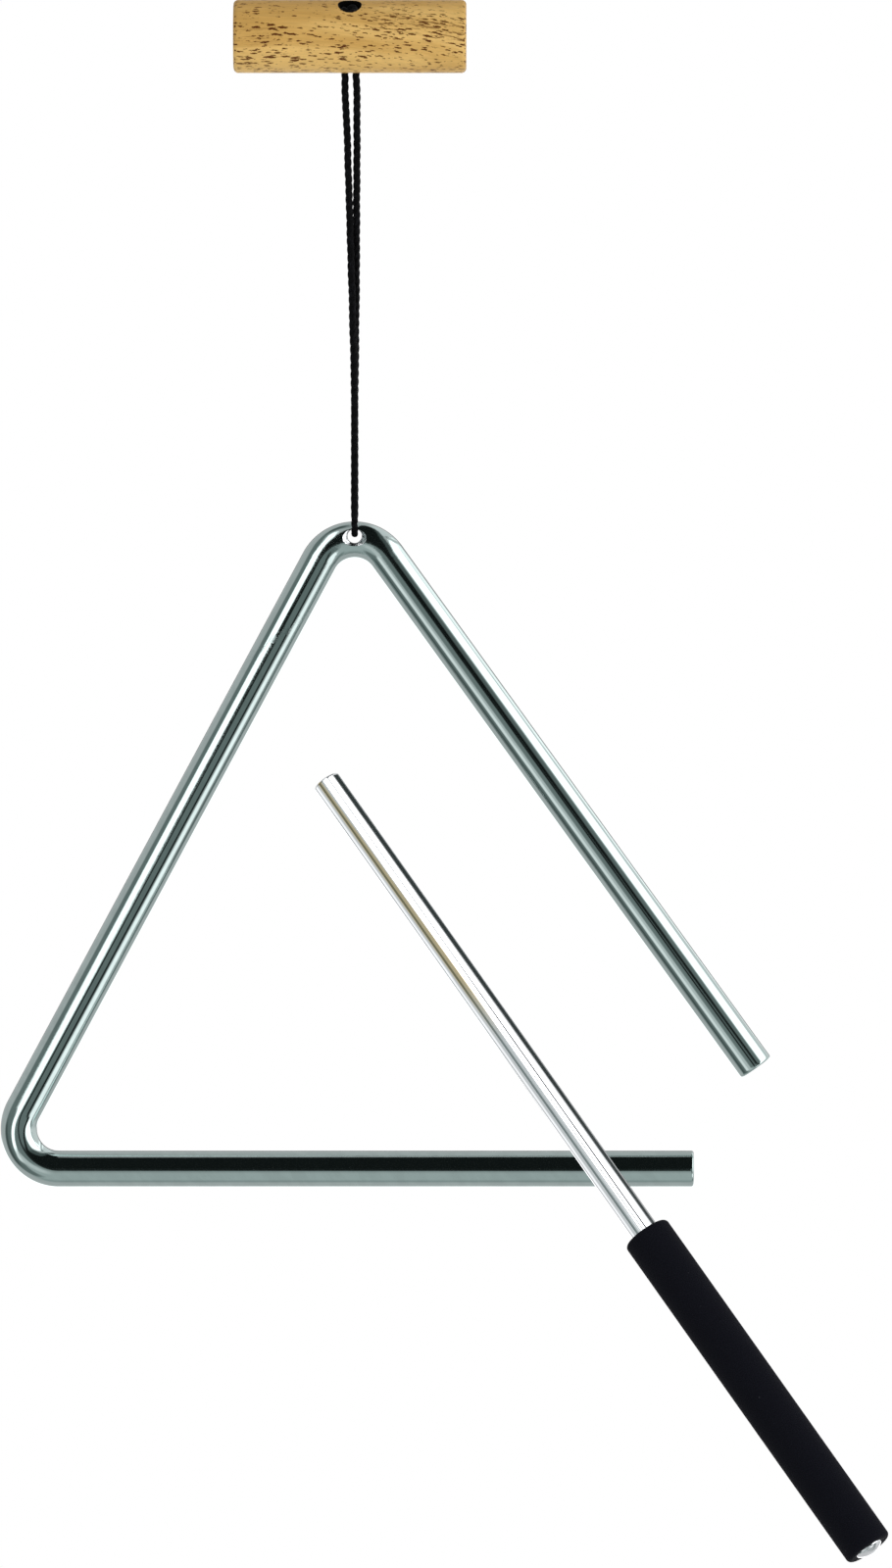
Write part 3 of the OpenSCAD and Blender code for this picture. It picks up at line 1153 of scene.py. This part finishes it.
def panelMask(tree, off, around, panel):
    # 1 inside the panel's outline, passing to 0 over its soft edges
    outline, soft, ends = panel["outline"], panel["soft"] / 180, panel["ends"]
    first, last = outline[0][0], outline[-1][0]
    start = (first + last) / 2 - 180
    turned = add(tree, "Math", {0: around, 1: start + 360.0, 2: start}, operation="WRAP")
    along = maths(tree, "DIVIDE", maths(tree, "SUBTRACT", turned, start), 360.0)
    level = maths(tree, "DIVIDE", off, 180.0)

    def beyond(side):
        # the angle past the outline's nearest side, which is 1, or its furthest, 2
        points = [((row[0] - start) / 360, row[side] / 180) for row in outline]
        return maths(tree, "SUBTRACT", level, outlineCurve(tree, along, points))

    mask = fade(tree, beyond(2), -soft, soft, 1.0, 0.0)
    if any(row[1] for row in outline):
        mask = times(tree, mask, fade(tree, beyond(1), -soft, soft))
    if ends:
        mask = times(tree, mask, fade(tree, turned, first - ends, first + ends))
        mask = times(tree, mask, fade(tree, turned, last - ends, last + ends, 1.0, 0.0))
    return mask


def tinted(shade):
    # the darker a panel is, the more it leans to green and blue
    lit = min(1, shade)
    return (shade * (0.78 + 0.22 * lit), shade, shade * (0.97 + 0.03 * lit), 1)


def makeStudio():
    world = bpy.data.worlds.new("studio")
    world.use_nodes = True
    tree = world.node_tree
    tree.nodes.clear()
    x, y, z = parted(tree, add(tree, "TexCoord", out=0))
    degrees = 180 / math.pi
    off = times(tree, maths(tree, "ARCCOSINE", times(tree, y, -1.0)), degrees)
    around = times(tree, maths(tree, "ARCTAN2", z, x), degrees)
    level = grey(studio["backdrop"])
    for panel in studio["panels"].values():
        mask = panelMask(tree, off, around, panel)
        level = mixColour(tree, mask, level, tinted(panel["level"]))
    rays = tree.nodes.new("ShaderNodeLightPath").outputs
    plain = maths(tree, "MAXIMUM", rays["Is Camera Ray"], rays["Is Transmission Ray"])
    seen = mixColour(tree, rays["Is Glossy Ray"], grey(studio["matt"]), level)
    seen = mixColour(tree, plain, seen, grey(studio["white"]))
    back = add(tree, "Background", {"Color": seen})
    tree.links.new(back, tree.nodes.new("ShaderNodeOutputWorld").inputs["Surface"])
    bpy.context.scene.world = world


lamps = {
    "front low": {"place": (0.1, -1.4, -1.0), "size": 1.2, "power": 22},
    "side": {"place": (1.3, -0.9, 0.3), "size": 1.0, "power": 9},
}

# White strips that only one piece mirrors, from one direction to another, each an
# angle off the camera's line and a turn round it, as for the panels
strips = {
    "away": 1.6,
    "beater": {
        "beater upper": {"from": (29.5, 123), "to": (37.3, 89.3), "wide": 0.6, "level": 2.6},
        "beater right": {"from": (43.9, 77.8), "to": (77.5, 55.2), "wide": 0.6, "level": 2.6},
        "beater tip": {"from": (39.2, 94.5), "to": (47.5, 79.8), "wide": 0.16, "level": 0.7},
        "beater left": {"from": (73.5, 194), "to": (124, 207), "wide": 0.4, "level": 0.56},
        "beater low": {"from": (38, 163.3), "to": (57, 185.5), "wide": 0.5, "level": 0.36},
    },
    # hides from the triangle the flag that is there for the beater
    "triangle": {
        "shoulder": {"from": (92, 51.5), "to": (142, 41), "wide": 0.38, "level": 0.8},
    },
}


def addLamp(name, place, turned, wide, high, power):
    data = bpy.data.lights.new(name, "AREA")
    data.shape = "RECTANGLE"
    data.size, data.size_y = wide, high
    data.energy = power
    light = bpy.data.objects.new(name, data)
    light.location = place
    light.rotation_euler = turned
    light.visible_camera = False
    collection.objects.link(light)
    return light


def makeLamps():
    for name, lamp in lamps.items():
        place = Vector(lamp["place"])
        turned = (Vector(studio["aim"]) - place).to_track_quat("-Z", "Y").to_euler()
        light = addLamp(name, place, turned, lamp["size"], lamp["size"], lamp["power"])
        light.visible_glossy = False


def direction(off, around):
    off, around = math.radians(off), math.radians(around)
    side = math.sin(off)
    return Vector((side * math.cos(around), -math.cos(off), side * math.sin(around)))


def addStrip(name, strip, piece, middle):
    away = strips["away"]
    first, last = direction(*strip["from"]), direction(*strip["to"])
    back = (first + last).normalized()
    side = (last - first).normalized()
    long = 2 * away * math.tan(first.angle(last) / 2)
    turned = Matrix((side, back.cross(side), back)).transposed().to_euler()
    power = math.pi * long * strip["wide"] * strip["level"]
    light = addLamp(name, middle + back * away, turned, long, strip["wide"], power)
    lit = bpy.data.collections.new("mirrors " + name)
    lit.objects.link(piece)
    light.light_linking.receiver_collection = lit


def makeStrips():
    middle = held() @ Vector((0, 0, beater["long"] / 2 * mm))
    for group, piece in (("beater", beaterRod), ("triangle", steelTriangle)):
        for name, strip in strips[group].items():
            addStrip(name, strip, piece, middle)


floor = {
    "middle": (0.02, 0, -0.46),
    "radius": 1.1,
    "colour": (0.92, 0.92, 0.92, 1),
    "whiteFrom": 0.25,   # distances from its middle over which it turns white
    "whiteTo": 0.8,
}


def makeFloor():
    bm = bmesh.new()
    bmesh.ops.create_circle(bm, cap_ends=True, segments=96, radius=floor["radius"])
    move(bm, Matrix.Translation(floor["middle"]))
    ground = putOut("ground", bm)
    ground.visible_glossy = False
    material, tree, surface = startMaterial("pale floor")
    plug(tree, surface, {"Base Color": floor["colour"], "Roughness": 0.9})
    # the floor passes into the white of the backdrop towards its rim
    ins = {0: objectPlace(tree), 1: floor["middle"]}
    far = add(tree, "VectorMath", ins, out=1, operation="DISTANCE")
    whiter = fade(tree, far, floor["whiteFrom"], floor["whiteTo"])
    glow = add(tree, "Emission", {"Color": grey(studio["white"]), "Strength": 1.0})
    mixed = add(tree, "MixShader", {0: whiter, 1: surface.outputs[0], 2: glow})
    tree.links.new(mixed, tree.nodes["Material Output"].inputs["Surface"])
    ground.data.materials.append(material)


makeStudio()
makeLamps()
makeStrips()
makeFloor()
print("studio made")
